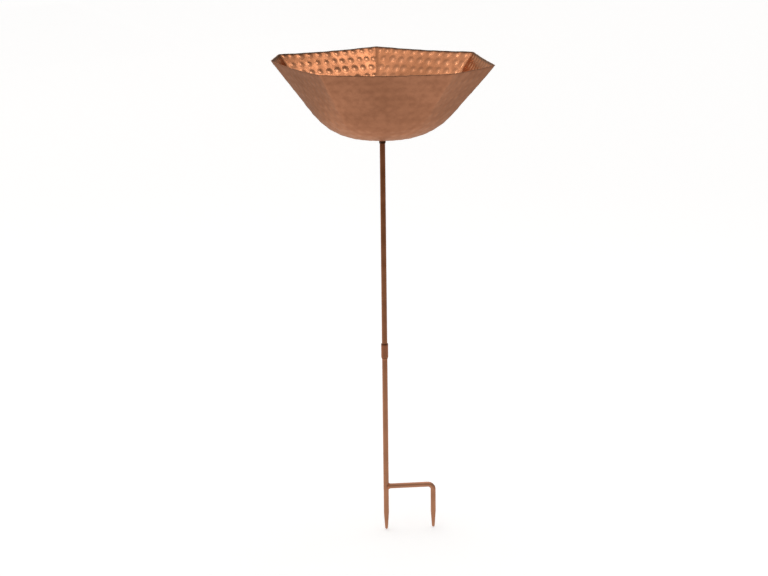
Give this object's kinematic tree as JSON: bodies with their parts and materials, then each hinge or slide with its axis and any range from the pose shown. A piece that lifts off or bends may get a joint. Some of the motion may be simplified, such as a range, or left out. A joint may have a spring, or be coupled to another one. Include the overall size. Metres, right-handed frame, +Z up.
{
  "type": "bird feeder on pole",
  "caption": "Garden bird feeder: a hammered, faceted sheet-metal bowl bolted on top of a slim two-part rod pole that a welded step prong pushes into the ground.",
  "frame": {"origin": "on the pole's axis at the ground line, which is the top of the lower rod's spike shank, just below the step arm", "axes": "+Z up the pole, +X along the step arm towards the prong, +Y to the back, away from the side that the picture shows"},
  "size_m": [0.3738, 0.3864, 0.8561],
  "materials": {
    "hammered_copper": "hammered copper sheet with a clear satin lacquer",
    "copper_rod": "steel rod with a satin copper-coloured plating",
    "copper_fastener": "steel with dark copper-coloured plating",
    "braze": "braze or weld bead under the same copper-coloured plating",
    "seal_rubber": "matt black rubber"
  },
  "bodies": {
    "stake": {"lower_pole": "copper_rod", "step_prong": "copper_rod", "prong_weld": "braze", "ferrule": "copper_rod", "ferrule_braze": "braze"},
    "upper_pole": {"upper_pole": "copper_rod", "stud": "copper_fastener", "lock_nut": "copper_fastener", "seat_nut": "copper_fastener", "lower_washer": "copper_fastener"},
    "bowl": {"bowl_shell": "hammered_copper"},
    "clamp_washer": {"seal_washer": "seal_rubber", "inner_washer": "copper_fastener"},
    "cap_nut": {"cap_nut": "copper_fastener"}
  },
  "joints": [
    {"name": "pole_lift", "type": "slide", "parent": "stake", "child": "upper_pole", "axis": [0, 0, 1], "range_m": [0, 0.0195]},
    {"name": "bowl_turn", "type": "hinge", "parent": "upper_pole", "child": "bowl", "pos_m": [0, 0, 0.65], "axis": [0, 0, 1], "continuous": true},
    {"name": "washer_rise", "type": "slide", "parent": "upper_pole", "child": "clamp_washer", "axis": [0, 0, 1], "range_m": [0, 0.0075]},
    {"name": "cap_nut_turn", "type": "hinge", "parent": "clamp_washer", "child": "cap_nut", "pos_m": [0, 0, 0.656], "axis": [0, 0, 1], "range_deg": [0, 2702]}
  ],
  "couplings": [
    {"joint": "cap_nut_turn", "follows": "washer_rise", "rad_per_m": 6283.2}
  ]
}
